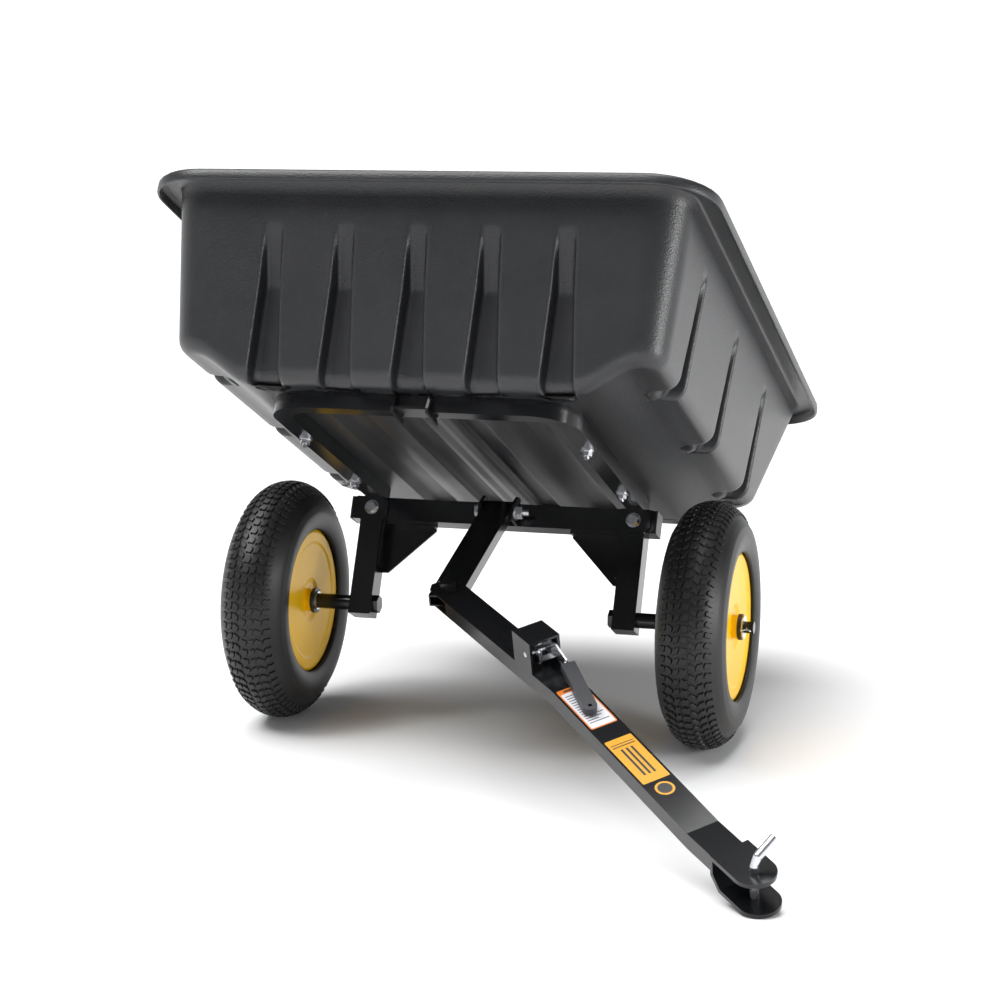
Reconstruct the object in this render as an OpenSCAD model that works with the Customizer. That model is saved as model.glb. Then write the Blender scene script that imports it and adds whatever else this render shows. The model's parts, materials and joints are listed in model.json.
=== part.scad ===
// Tipping garden cart: a moulded tub on a steel frame, two barrow wheels and
// a pivoting, swivelling tow bar. Millimetres, +Z up, the tow bar towards -Y.
// Origin: on the ground, midway between the wheels, below the axle line.

/* [Pose at rest] */
// How far the tub and frame are tipped back, in degrees
tip_deg = 24.4; // [10:0.1:35]
// How far the tow bar is swung to the right of the link, in degrees
swing = 44.9; // [0:0.1:48]

/* [Wheels] */
// Outside diameter of the tyre
tyre_od = 400; // [330:5:480]
// Width of the tyre
tyre_w = 112; // [90:2:130]
// Wall of the tyre
tyre_wall = 9; // [6:1:12]
// Diameter of the rim's visible face
rim_d = 236; // [200:2:260]
// Thickness of the rim's sheet
rim_t = 2.5; // [2:0.5:4]
// Distance between the middles of the wheels
track = 724; // [690:2:860]
// Width of the hub tube
hub_w = 96; // [90:1:110]
// Outside diameter of the hub tube
hub_d = 38; // [34:1:46]

/* [Axles] */
// Diameter of the axle bolts
axle_d = 19; // [16:1:22]
// Outside diameter of the axle spacers
spacer_d = 25; // [24:1:30]
// Wall between a bush's bore and its outside
bush_wall = 3.5; // [2:0.5:5]

/* [Frame] */
// Side of the square tube of the beam and legs
beam_s = 38; // [32:1:44]
// Wall of the square tubes
tube_wall = 2.5; // [2:0.5:4]
// Length of the cross beam
beam_len = 520; // [500:2:540]
// Distance between the middles of the legs
leg_gap = 450; // [420:2:470]
// From the middle of the beam down to the axle
leg_len = 160; // [130:2:200]
// How far a leg runs on below the axle
leg_below = 21; // [18:1:30]
// Width of the hoop's tube
hoop_w = 28; // [24:1:32]
// Height of the hoop's tube
hoop_h = 26; // [22:1:30]
// From the middle of the beam to the front of the hoop
hoop_reach = 528; // [440:2:560]
// Outer radius of the hoop's corners
hoop_r = 70; // [50:2:90]
// Height of a gusset down the leg
gusset_h = 84; // [60:2:100]
// Length of a gusset along the beam
gusset_l = 88; // [60:2:110]
// Thickness of gussets, brackets and lugs
plate_t = 5; // [3:0.5:8]

/* [Tub] */
// Depth of the tub from rim to floor
tub_depth = 300; // [240:5:360]
// Wall of the tub
tub_wall = 4; // [3:0.5:6]
// From the beam to the foot of the front wall
tub_front = 575; // [560:2:700]
// From the beam to the foot of the rear wall
tub_rear = 184; // [150:2:240]
// Half the width of the tub at the foot of its side walls
tub_half = 370; // [320:2:440]
// How far the front wall leans out by the rim
front_lean = 46; // [20:2:70]
// How far the rear wall leans out by the rim
rear_lean = 282; // [200:2:320]
// How far a side wall leans out by the rim
side_lean = 29; // [15:1:45]
// Width of the rim's flange
flange_w = 36; // [24:1:44]
// Height of the rim's turned-down lip
lip_h = 18; // [10:1:24]
// Height of the side shelves over the floor
shelf_rise = 42; // [20:1:60]
// Half the width of the low floor
floor_half = 258; // [250:2:280]
// Height of the channels pressed up into the floor
groove_h = 12; // [6:1:16]
// Depth of the recessed flutes in the walls
flute_depth = 26; // [12:1:32]
// Spacing of the flutes in the front wall
front_flute_gap = 112; // [100:1:120]
// Spacing of the flutes in a side wall
side_flute_gap = 274; // [220:2:290]

/* [Tow bar] */
// Width of the link and the tow bar
bar_w = 50; // [44:1:60]
// Height of the tow bar's tube
bar_h = 25; // [22:1:32]
// Height of the link's tube, which fits inside the tow bar's fork
link_h = 19; // [16:0.5:19]
// From the tip bolt to the swivel bolt
link_len = 281; // [230:2:320]
// From the beam's middle forward to the tip bolt
pin_ahead = 40; // [39:1:50]
// From the swivel bolt to the first bend
seg1 = 362; // [335:2:420]
// From the first bend to the second
seg2 = 350; // [280:2:420]
// From the second bend to the hitch pin
seg3 = 121; // [100:2:160]
// First bend, downwards, in degrees
bend1 = 8.1; // [0:0.1:14]
// Second bend, upwards, in degrees
bend2 = 5.3; // [0:0.1:14]

/* [Latch] */
// From the swivel bolt to the back of the latch box
box_at = 256; // [250:1:280]
// Length of the latch box
box_len = 51; // [44:1:60]
// Height of the latch box
box_h = 50; // [44:1:52]
// Thickness of the latch box's plate
box_t = 4; // [3:0.5:5]
// Length of the lever's grip
grip_len = 112; // [90:2:130]

/* [Hitch] */
// Width of the hitch plates
hitch_w = 60; // [54:1:74]
// Thickness of the hitch plates
hitch_t = 6; // [5:0.5:8]
// Gap between the hitch plates
hitch_gap = 36; // [30:1:44]
// How much further the lower hitch plate reaches than the upper one
hitch_nose = 9; // [0:1:14]
// Diameter of the hitch pin
pin_d = 12.7; // [10:0.1:16]

/* [Fits] */
// Radial clearance of a running fit
fit_run = 0.05; // [0.03:0.01:0.1]
// Gap left round a fixed bolt in its hole
fit_bolt = 0.3; // [0.2:0.05:0.6]
// Side clearance between pieces that turn past each other
fit_side = 0.5; // [0.3:0.1:1]

/* [Hidden] */

axle_z = tyre_od / 2;
leg_x = leg_gap / 2;
hoop_z = beam_s / 2;                  // underside of the hoop, on the beam
floor_z = hoop_z + hoop_h;            // underside of the tub's floor
rim_z = floor_z + tub_depth;          // top of the tub's rim
shelf_z = floor_z + shelf_rise;
ramp_w = 78;                          // width of the ramp from floor to shelf
rail_bolt_y = -362;                   // the front pair of tub bolts
rear_bolt_y = -120;                   // the rear pair of tub bolts
bolt_d = 8;                           // carriage bolts
corner_bolt_d = 12;
tip_bolt_d = 12;
swivel_d = 16;
pivot_d = 8;                          // bolt that the latch lever turns on
washer_t = 2.5;
nut_h = 7;
lug_t = 5;
lug_gap = bar_w + 2 * fit_side;
bar_wall = 2.5;
fork_t = (bar_h - link_h) / 2 - fit_side;
fork_root = 38;                       // from the swivel bolt to the fork's root
hitch_back = 58;                      // from the hitch pin back to the bar's end
steel = [0.09, 0.09, 0.1];
zinc = [0.75, 0.76, 0.78];
yellow = [0.96, 0.72, 0.06];
rubber = [0.07, 0.07, 0.07];

// ---- the pitch of the link that rests the hitch on the ground ----
nose_r = hitch_w / 2 + hitch_nose;
hitch_low = hitch_gap + hitch_t - bar_h / 2;   // from the bar's middle to the hitch's foot
net_bend = bend1 - bend2;
tip_pin_z = axle_z + leg_len * cos(tip_deg) + pin_ahead * sin(tip_deg);
run_out = link_len + cos(swing) * (seg1 + seg2 * cos(bend1) + seg3 * cos(net_bend)
    - hitch_low * sin(net_bend));
run_down = seg2 * sin(bend1) + seg3 * sin(net_bend) + hitch_low * cos(net_bend);
// Pitch that brings the foot of the hitch the given distance below the tip bolt
function pitch_for(drop) = asin(drop / norm([run_out, run_down])) - atan2(run_down, run_out);
// How far the tilted nose of the lower plate dips below its middle
function nose_dip(pitch) =
    let (nz = cos(net_bend) * cos(pitch) - sin(net_bend) * cos(swing) * sin(pitch))
    nose_r * sqrt(1 - nz * nz);
pitch_0 = pitch_for(tip_pin_z - 14);
pitch_1 = pitch_for(tip_pin_z - nose_dip(pitch_0));
link_pitch = pitch_for(tip_pin_z - nose_dip(pitch_1));

// ---- places ----
module at_beam() {
    translate([0, leg_len * sin(tip_deg), axle_z + leg_len * cos(tip_deg)])
        rotate([-tip_deg, 0, 0]) children();
}
module at_link() {
    at_beam() translate([0, -pin_ahead, 0])
        rotate([tip_deg + link_pitch, 0, 0]) children();
}
module at_drawbar() {
    at_link() translate([0, -link_len, 0]) rotate([0, 0, swing]) children();
}
module at_bend1() {
    at_drawbar() translate([0, -seg1, 0]) rotate([bend1, 0, 0]) children();
}
module at_hitch() {
    at_bend1() translate([0, -seg2, 0]) rotate([-bend2, 0, 0])
        translate([0, -seg3, 0]) children();
}
// A wheel's middle, with +Z pointing outwards along the axle
module at_wheel(side) {
    translate([side * track / 2, 0, axle_z]) rotate([0, side * 90, 0]) children();
}

// ---- shapes used by several pieces ----
module hex_head(af, h) {
    cylinder(d = af / cos(30), h = h, $fn = 6);
}
// A hexagonal nut, its hole clear of the bolt's thread
module nut(d, h) {
    difference() {
        hex_head(1.7 * d, h);
        translate([0, 0, -1]) cylinder(r = d / 2 + fit_bolt, h = h + 2, $fn = 40);
    }
}
module washer(d, od, t) {
    difference() {
        cylinder(d = od, h = t, $fn = 48);
        translate([0, 0, -1]) cylinder(r = d / 2 + fit_bolt, h = t + 2, $fn = 40);
    }
}
// Square tube along Z, standing on z = 0
module square_tube(w, d, wall, h) {
    difference() {
        translate([-w / 2, -d / 2, 0]) cube([w, d, h]);
        translate([-w / 2 + wall, -d / 2 + wall, -1])
            cube([w - 2 * wall, d - 2 * wall, h + 2]);
    }
}
// Points round a rectangle with rounded corners
function rounded_rect(hx, y0, y1, r, n = 6) = [
    for (c = [[1, 1, 0], [-1, 1, 90], [-1, -1, 180], [1, -1, 270]], i = [0:n])
        let (a = c[2] + 90 * i / n)
        [c[0] * (hx - r) + r * cos(a), (c[1] > 0 ? y1 - r : y0 + r) + r * sin(a)]
];
// A skin through rings of equal count, closed at both ends
module loft(rings) {
    n = len(rings[0]);
    m = len(rings);
    polyhedron(
        points = [for (ring = rings) each ring],
        faces = [
            [for (i = [0:n - 1]) i],
            [for (i = [0:n - 1]) (m - 1) * n + n - 1 - i],
            for (k = [0:m - 2], i = [0:n - 1])
                [k * n + i, (k + 1) * n + i, (k + 1) * n + (i + 1) % n],
            for (k = [0:m - 2], i = [0:n - 1])
                [k * n + i, (k + 1) * n + (i + 1) % n, k * n + (i + 1) % n]
        ]);
}

// ---- tub ----
function lean(z) = (z - floor_z) / tub_depth;
function front_y(z) = -(tub_front + front_lean * lean(z));
function rear_y(z) = tub_rear + rear_lean * lean(z);
function side_x(z) = tub_half + side_lean * lean(z);
// One level of the tub's body, drawn in by inset at height z
function tub_ring(z, inset, r) = [
    for (p = rounded_rect(side_x(z) - inset, front_y(z) + inset, rear_y(z) - inset, r))
        [p[0], p[1], z]
];
foot_r = 24;                          // rounding where walls meet the floor
function tub_rings(inset, base) = [
    for (a = [0:30:90]) tub_ring(base + foot_r * (1 - cos(a)), inset + foot_r * (1 - sin(a)),
        44 - inset),
    tub_ring(floor_z + tub_depth * 0.5, inset, 52 - inset),
    tub_ring(rim_z + (inset > 0 ? 1 : -1), inset, 62 - inset)
];
// Solid under a shelf, its ramp and its rounded outer corner, raised by lift
corner_r = 40;
module shelf_block(side, lift) {
    foot = floor_half - lift * 0.6;
    reach = tub_half + side_lean + 20;
    z = shelf_z + lift;
    r = corner_r - lift;
    cx = side_x(shelf_z) - corner_r;
    arc = [for (t = [0:14:84]) [side * (cx + r * sin(t)), z + r * (1 - cos(t))]];
    translate([0, rear_y(rim_z) + 1, 0]) rotate([90, 0, 0])
        linear_extrude(height = rear_y(rim_z) - front_y(rim_z) + 2)
            polygon(concat([[side * foot, floor_z - 5], [side * foot, floor_z + lift],
                [side * (foot + ramp_w), z]], arc,
                [[side * (side_x(z + r) + 1 - (lift > 0 ? tub_wall : 0)), z + r],
                [side * reach, z + r], [side * reach, floor_z - 5]]));
}
flute_top = floor_z + tub_depth * 0.785;
flute_knee = floor_z + tub_depth * 0.48;
// Levels of a flute: height, half width, depth
flute_levels = [[floor_z - 10, 25, flute_depth + 3], [flute_knee, 15, flute_depth],
    [flute_top, 13, 0.2]];
// A flute's wedge, grown by skin; its back is at y = 0 and it cuts towards +Y
module flute(skin, wall_y) {
    rings = [for (l = flute_levels)
        let (z = l[0] + (l[2] < 1 ? skin * 1.5 : 0), w = l[1] + skin, y = wall_y(z))
        [[w, y - 8, z], [w - l[2] * 0.18, y + l[2] + skin, z],
            [-w + l[2] * 0.18, y + l[2] + skin, z], [-w, y - 8, z]]];
    loft(rings);
}
module flutes(skin) {
    for (i = [-2:2]) translate([i * front_flute_gap, 0, 0])
        flute(skin, function(z) front_y(z));
    for (side = [-1, 1], i = [-1:1])
        translate([0, -156 + i * side_flute_gap, 0]) rotate([0, 0, side * 90])
            flute(skin, function(z) -side_x(z));
}
module floor_grooves(skin) {
    // Long shallow channels under the floor, between the rails
    for (i = [-1.5:1:1.5])
        translate([i * (bar_w + 46) - 21 - skin, -tub_front + 30 - skin, floor_z - 5])
            cube([42 + 2 * skin, tub_front + tub_rear - 60 + 2 * skin, 5 + groove_h + skin]);
}
module tub_flange() {
    outer = rounded_rect(side_x(rim_z) + flange_w, front_y(rim_z) - flange_w,
        rear_y(rim_z) + flange_w, 76);
    under = rounded_rect(side_x(rim_z) + flange_w - tub_wall,
        front_y(rim_z) - flange_w + tub_wall, rear_y(rim_z) + flange_w - tub_wall,
        76 - tub_wall);
    translate([0, 0, rim_z - tub_wall]) linear_extrude(height = tub_wall) polygon(outer);
    translate([0, 0, rim_z - lip_h]) linear_extrude(height = lip_h) difference() {
        polygon(outer);
        polygon(under);
    }
}
module tub() {
    color([0.16, 0.16, 0.17]) at_beam() difference() {
        union() {
            difference() {
                loft(tub_rings(0, floor_z));
                for (side = [-1, 1]) shelf_block(side, 0);
                floor_grooves(0);
                flutes(0);
            }
            tub_flange();
        }
        difference() {
            loft(tub_rings(tub_wall, floor_z + tub_wall));
            for (side = [-1, 1]) shelf_block(side, tub_wall);
            floor_grooves(tub_wall);
            flutes(tub_wall);
        }
        for (side = [-1, 1], y = [rail_bolt_y, rear_bolt_y])
            translate([side * leg_x, y, floor_z - 5])
                cylinder(r = bolt_d / 2 + fit_bolt, h = 20, $fn = 32);
    }
}
// Carriage bolts through the tub's floor and the rails, heads inside the tub
module tub_bolts() {
    color(zinc) at_beam() for (side = [-1, 1], y = [rail_bolt_y, rear_bolt_y])
        translate([side * leg_x, y, 0]) {
            translate([0, 0, floor_z + tub_wall]) intersection() {
                translate([0, 0, -8]) sphere(r = 13, $fn = 40);
                cylinder(r = 20, h = 10, $fn = 40);
            }
            translate([0, 0, hoop_z - 14]) cylinder(d = bolt_d, h = hoop_h + tub_wall + 15, $fn = 32);
        }
}
module tub_nuts() {
    color(zinc) at_beam() for (side = [-1, 1], y = [rail_bolt_y, rear_bolt_y])
        translate([side * leg_x, y, hoop_z]) rotate([180, 0, 0]) {
            washer(bolt_d, 20, washer_t);
            translate([0, 0, washer_t]) nut(bolt_d, nut_h);
        }
}

// ---- frame ----
module hoop_corner(side) {
    mid_r = hoop_r - hoop_w / 2;
    translate([side * (leg_x + hoop_w / 2 - hoop_r), -hoop_reach + hoop_r, hoop_z + hoop_h / 2])
        rotate([0, 0, side > 0 ? -90 : 180])
            rotate_extrude(angle = 90, $fn = 48) translate([mid_r, 0]) difference() {
                square([hoop_w, hoop_h], center = true);
                square([hoop_w - 2 * tube_wall, hoop_h - 2 * tube_wall], center = true);
            }
}
module hoop() {
    run_x = 2 * (leg_x + hoop_w / 2 - hoop_r);
    run_y = hoop_reach - hoop_r + beam_s / 2;
    color(steel) at_beam() {
        translate([-run_x / 2, -hoop_reach + hoop_w / 2, hoop_z + hoop_h / 2]) rotate([0, 90, 0])
            square_tube(hoop_h, hoop_w, tube_wall, run_x);
        for (side = [-1, 1]) {
            hoop_corner(side);
            difference() {
                translate([side * leg_x, beam_s / 2, hoop_z + hoop_h / 2]) rotate([90, 0, 0])
                    square_tube(hoop_w, hoop_h, tube_wall, run_y);
                for (y = [rail_bolt_y, rear_bolt_y])
                    translate([side * leg_x, y, hoop_z - 1])
                        cylinder(r = bolt_d / 2 + fit_bolt, h = hoop_h + 2, $fn = 32);
            }
        }
    }
}
// Two cheeks and a striker lip welded round the hoop's middle
catch_w = bar_w + 7;
catch_t = 4;
module hoop_catch() {
    y0 = -hoop_reach;
    color(steel) at_beam() {
        for (side = [-1, 1])
            translate([side * (catch_w / 2 - catch_t / 2) - catch_t / 2, 0, 0])
                rotate([90, 0, 90]) linear_extrude(height = catch_t)
                    polygon([[y0, floor_z], [y0 - 6, floor_z], [y0 - 16, hoop_z + 2],
                        [y0 - 14, hoop_z - 5], [y0 + hoop_w + 12, hoop_z - 9],
                        [y0 + hoop_w + 4, hoop_z], [y0, hoop_z]]);
        translate([-catch_w / 2 + catch_t, y0 - 14, hoop_z])
            cube([catch_w - 2 * catch_t, 14, 4]);
    }
}
module cross_beam() {
    color(steel) at_beam() difference() {
        translate([-beam_len / 2, 0, 0]) rotate([0, 90, 0])
            square_tube(beam_s, beam_s, tube_wall, beam_len);
        for (side = [-1, 1]) translate([side * leg_x, -beam_s, 0]) rotate([-90, 0, 0])
            cylinder(r = corner_bolt_d / 2 + fit_bolt, h = 2 * beam_s, $fn = 40);
    }
}
module beam_caps() {
    color(rubber) at_beam() for (side = [-1, 1])
        translate([side * beam_len / 2, 0, 0]) rotate([0, side * 90, 0]) {
            translate([-beam_s / 2, -beam_s / 2, 0]) cube([beam_s, beam_s, 3]);
            inner = beam_s - 2 * tube_wall;
            translate([-inner / 2, -inner / 2, -10]) cube([inner, inner, 10]);
        }
}
module leg(side) {
    top = -beam_s / 2;
    color(steel) at_beam() difference() {
        translate([side * leg_x, 0, -leg_len - leg_below]) {
            square_tube(beam_s, beam_s, tube_wall, leg_len + leg_below + top);
            translate([-beam_s / 2 + 1, -beam_s / 2 + 1, 0]) cube([beam_s - 2, beam_s - 2, tube_wall]);
        }
        translate([side * leg_x - beam_s, 0, -leg_len]) rotate([0, 90, 0])
            cylinder(r = axle_d / 2 + fit_bolt, h = 2 * beam_s, $fn = 48);
    }
}
module leg_left() { leg(-1); }
module leg_right() { leg(1); }
// Triangular gusset with one flange on the leg and one under the beam
module gusset(side) {
    inner_x = leg_x - beam_s / 2;
    top = -beam_s / 2;
    flange = beam_s / 2 + 7;
    color(steel) at_beam() mirror([side < 0 ? 1 : 0, 0, 0]) {
        translate([0, 10 + plate_t, 0]) rotate([90, 0, 0]) linear_extrude(height = plate_t)
            polygon([[inner_x, top], [inner_x - gusset_l, top], [inner_x - gusset_l, top - 8],
                [inner_x - 12, top - gusset_h], [inner_x, top - gusset_h]]);
        translate([inner_x - plate_t, 10 - flange, top - gusset_h + 8])
            cube([plate_t, flange, gusset_h - 8]);
        translate([inner_x - gusset_l, 10 - flange + 6, top - plate_t])
            cube([gusset_l - plate_t, flange - 6, plate_t]);
    }
}
module gusset_left() { gusset(-1); }
module gusset_right() { gusset(1); }
// Plate hung from the end of a rail and bolted to the beam's face
module bracket(side) {
    w = 56;
    h = 44;
    top = beam_s / 2;
    color(steel) at_beam() mirror([side < 0 ? 1 : 0, 0, 0]) difference() {
        translate([leg_x, -beam_s / 2, 0]) rotate([90, 0, 0]) linear_extrude(height = plate_t)
            polygon([[-w / 2 + 6, top], [w / 2, top], [w / 2, top - h + 14], [w / 2 - 14, top - h],
                [-w / 2 + 12, top - h], [-w / 2, top - h + 12], [-w / 2, top - 6]]);
        translate([leg_x, -beam_s, 0]) rotate([-90, 0, 0])
            cylinder(r = corner_bolt_d / 2 + fit_bolt, h = beam_s, $fn = 40);
    }
}
module bracket_left() { bracket(-1); }
module bracket_right() { bracket(1); }
module bracket_bolts() {
    color(zinc) at_beam() for (side = [-1, 1])
        translate([side * leg_x, -beam_s / 2 - plate_t, 0]) rotate([90, 0, 0]) {
            cylinder(d = 24, h = 2, $fn = 48);
            translate([0, 0, 2]) cylinder(r1 = 11, r2 = 8, h = 5, $fn = 48);
            translate([0, 0, -beam_s - plate_t - 14])
                cylinder(d = corner_bolt_d, h = beam_s + plate_t + 14.5, $fn = 40);
        }
}
module bracket_nuts() {
    color(zinc) at_beam() for (side = [-1, 1])
        translate([side * leg_x, beam_s / 2, 0]) rotate([-90, 0, 0]) {
            washer(corner_bolt_d, 24, washer_t);
            translate([0, 0, washer_t]) nut(corner_bolt_d, nut_h + 2);
        }
}
// Two lugs on the front of the beam that the link swings between
module link_lugs() {
    color(steel) at_beam() difference() {
        for (side = [-1, 1]) translate([side * (lug_gap + lug_t) / 2 - lug_t / 2, -beam_s / 2, 0])
            rotate([90, 0, 90]) linear_extrude(height = lug_t)
                polygon([[0, beam_s / 2 + 8], [-pin_ahead + beam_s / 2 + 6, beam_s / 2 + 8],
                    [-pin_ahead + 5, 10], [-pin_ahead + 3, -8], [-pin_ahead + 14, -16],
                    [0, -beam_s / 2]]);
        translate([-bar_w, -pin_ahead, 0]) rotate([0, 90, 0])
            cylinder(r = tip_bolt_d / 2 + fit_bolt, h = 2 * bar_w, $fn = 40);
    }
}
module tip_bolt() {
    out = lug_gap / 2 + lug_t;
    color(zinc) at_beam() translate([0, -pin_ahead, 0]) rotate([0, 90, 0]) {
        translate([0, 0, -out - 8]) hex_head(18, 8);
        translate([0, 0, -out - 1]) cylinder(d = tip_bolt_d, h = 2 * out + 24, $fn = 40);
    }
}
module tip_nut() {
    color(zinc) at_beam() translate([lug_gap / 2 + lug_t, -pin_ahead, 0]) rotate([0, 90, 0]) {
        washer(tip_bolt_d, 28, washer_t);
        translate([0, 0, washer_t]) nut(tip_bolt_d, nut_h + 3);
    }
}

// ---- axles ----
hub_in = track / 2 - hub_w / 2 - 6;   // where the inner bush's flange starts
hub_out = track / 2 + hub_w / 2 + 6;
leg_out = leg_x + beam_s / 2;
axle_end = hub_out + washer_t + 16;
cotter_d = 4;
cotter_x = hub_out + washer_t + 7;
module axle_bolt(side) {
    start = leg_x - beam_s / 2;
    color(zinc) translate([0, 0, axle_z]) rotate([0, side * 90, 0]) difference() {
        union() {
            translate([0, 0, start - 9]) hex_head(26, 9);
            translate([0, 0, start - 1]) cylinder(d = axle_d, h = axle_end - start + 1, $fn = 64);
        }
        translate([0, -axle_d, cotter_x]) rotate([-90, 0, 0])
            cylinder(r = cotter_d / 2 + fit_bolt, h = 2 * axle_d, $fn = 24);
    }
}
module axle_bolt_left() { axle_bolt(-1); }
module axle_bolt_right() { axle_bolt(1); }
module spacer(side) {
    color(steel) translate([0, 0, axle_z]) rotate([0, side * 90, 0])
        translate([0, 0, leg_out]) difference() {
            cylinder(d = spacer_d, h = hub_in - leg_out - fit_side - washer_t, $fn = 48);
            translate([0, 0, -1]) cylinder(r = axle_d / 2 + fit_bolt, h = hub_in, $fn = 48);
        }
}
module spacer_left() { spacer(-1); }
module spacer_right() { spacer(1); }
module axle_washers() {
    color(zinc) translate([0, 0, axle_z]) for (side = [-1, 1]) rotate([0, side * 90, 0]) {
        translate([0, 0, hub_in - fit_side - washer_t]) washer(axle_d, 31, washer_t);
        translate([0, 0, hub_out + fit_side]) washer(axle_d, 2 * axle_d, washer_t);
    }
}
// Split pins: a loop outside the axle and two bent legs below it
module cotter_pins() {
    color(zinc) translate([0, 0, axle_z]) for (side = [-1, 1]) rotate([0, side * 90, 0])
        translate([0, 0, cotter_x]) rotate([0, 0, 90]) rotate([0, 90, 0]) {
            translate([0, 0, -axle_d / 2 - 6]) cylinder(d = cotter_d, h = axle_d + 12, $fn = 24);
            translate([0, 0, axle_d / 2 + 10]) rotate([90, 0, 0])
                rotate_extrude($fn = 32) translate([5, 0]) circle(d = 3, $fn = 16);
            for (k = [-1, 1]) translate([0, 0, -axle_d / 2 - 5]) rotate([0, 180 + k * 32, 0])
                cylinder(d = 2.4, h = 15, $fn = 16);
        }
}

// ---- wheels, drawn with +Z outwards ----
bead_r = rim_d / 2;
section_r = tyre_w / 2;
section_at = tyre_od / 2 - section_r;
tall = section_at - bead_r > 30;      // a straight part joins a tall side wall to its bead
side_r = section_r - 6;
face_at = 45;                         // from the wheel's middle to the rim's face
module tyre(side) {
    color(rubber) at_wheel(side) rotate_extrude($fn = 96) difference() {
        union() {
            translate([section_at, 0]) circle(r = section_r, $fn = 64);
            if (tall) translate([bead_r, -side_r]) square([section_at - bead_r, 2 * side_r]);
        }
        translate([section_at, 0]) circle(r = section_r - tyre_wall, $fn = 64);
        if (tall) translate([bead_r - 1, tyre_wall - side_r])
            square([section_at - bead_r + 1, 2 * side_r - 2 * tyre_wall]);
        translate([0, -section_r]) square([bead_r + 1, 2 * section_r]);
    }
}
// One pressed half of the rim: collar, dished face, edge, bead seat and well
module rim_half(side, out) {
    t = rim_t;
    f = face_at - 2 * t;              // inside of the sheet at its flat face
    b = bead_r + 1;                   // radius of the bead seat
    color(yellow) at_wheel(side) mirror([0, 0, out > 0 ? 0 : 1]) rotate_extrude($fn = 96)
        polygon([[hub_d / 2, f - 1.5], [30, f - 1.5], [38, f + 1.5], [b - 25, f + 3],
            [b - 20, f + 5], [b - 5, f + 5], [b, f + 2.5], [b, f - 6], [b - 6, f - 10],
            [b - 15, 0.2], [b - 15 - t, 0.2], [b - 6 - t, f - 9], [b - t - 0.5, f - 4.5],
            [b - t - 0.5, f + 1], [b - 6, f + 5 - t], [b - 19.2, f + 5 - t],
            [b - 24.2, f + 3 - t], [38.8, f + 1.5 - t], [30.8, f - 1.5 - t],
            [hub_d / 2, f - 1.5 - t]]);
}
module hub(side) {
    color(yellow) at_wheel(side) difference() {
        translate([0, 0, -hub_w / 2]) cylinder(d = hub_d, h = hub_w, $fn = 64);
        translate([0, 0, -hub_w]) cylinder(r = axle_d / 2 + bush_wall, h = 2 * hub_w, $fn = 64);
    }
}
module bushes(side) {
    color(rubber) at_wheel(side) for (end = [-1, 1]) mirror([0, 0, end < 0 ? 1 : 0])
        difference() {
            union() {
                translate([0, 0, hub_w / 2]) cylinder(d = hub_d + 4, h = 6, $fn = 64);
                translate([0, 0, hub_w / 2 - 22]) cylinder(r = axle_d / 2 + bush_wall, h = 23, $fn = 64);
            }
            translate([0, 0, hub_w / 2 - 40]) cylinder(r = axle_d / 2 + fit_run, h = 60, $fn = 64);
        }
}
module valve(side) {
    color(rubber) at_wheel(side) mirror([0, 0, side > 0 ? 1 : 0]) rotate([0, 0, 200])
        translate([bead_r - 36, 0, face_at - 2]) {
            cylinder(d = 12, h = 4, $fn = 32);
            cylinder(d = 8, h = 20, $fn = 32);
            translate([0, 0, 20]) cylinder(d = 9, h = 6, $fn = 32);
        }
}
module tyre_left() { tyre(-1); }
module rim_inner_left() { rim_half(-1, -1); }
module rim_outer_left() { rim_half(-1, 1); }
module hub_left() { hub(-1); }
module bushes_left() { bushes(-1); }
module valve_left() { valve(-1); }
module tyre_right() { tyre(1); }
module rim_inner_right() { rim_half(1, -1); }
module rim_outer_right() { rim_half(1, 1); }
module hub_right() { hub(1); }
module bushes_right() { bushes(1); }
module valve_right() { valve(1); }

// ---- link ----
link_back = 17;                       // how far the link runs behind the tip bolt
link_front = 22;                      // and beyond the swivel bolt
module link() {
    color(steel) at_link() difference() {
        union() {
            translate([0, link_back, 0]) rotate([90, 0, 0])
                square_tube(bar_w, link_h, bar_wall, link_len + link_back + link_front);
            translate([0, -link_len, -link_h / 2]) cylinder(d = 30, h = link_h, $fn = 48);
            translate([-bar_w / 2 + 1, 0, 0]) rotate([0, 90, 0])
                cylinder(d = 18, h = bar_w - 2, $fn = 48);
        }
        translate([-bar_w, 0, 0]) rotate([0, 90, 0])
            cylinder(r = tip_bolt_d / 2 + 2, h = 2 * bar_w, $fn = 48);
        translate([0, -link_len, -link_h]) cylinder(r = swivel_d / 2 + fit_bolt, h = 2 * link_h, $fn = 48);
    }
}
// Tube that lets the link turn freely on the tip bolt
module link_bush() {
    color(zinc) at_link() rotate([0, 90, 0]) difference() {
        translate([0, 0, -bar_w / 2]) cylinder(r = tip_bolt_d / 2 + 2, h = bar_w, $fn = 48);
        translate([0, 0, -bar_w]) cylinder(r = tip_bolt_d / 2 + fit_run, h = 2 * bar_w, $fn = 48);
    }
}
module swivel_bolt() {
    reach = bar_h / 2 + fit_side;
    color(steel) at_link() translate([0, -link_len, 0]) {
        translate([0, 0, reach]) cylinder(d = 34, h = washer_t, $fn = 48);
        translate([0, 0, reach + washer_t]) hex_head(24, 9);
        translate([0, 0, -reach - washer_t - 16])
            cylinder(d = swivel_d, h = 2 * reach + 2 * washer_t + 17, $fn = 48);
    }
}
module swivel_nut() {
    color(steel) at_link() translate([0, -link_len, -bar_h / 2 - fit_side]) rotate([180, 0, 0]) {
        washer(swivel_d, 34, washer_t);
        translate([0, 0, washer_t]) nut(swivel_d, nut_h + 4);
    }
}

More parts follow.
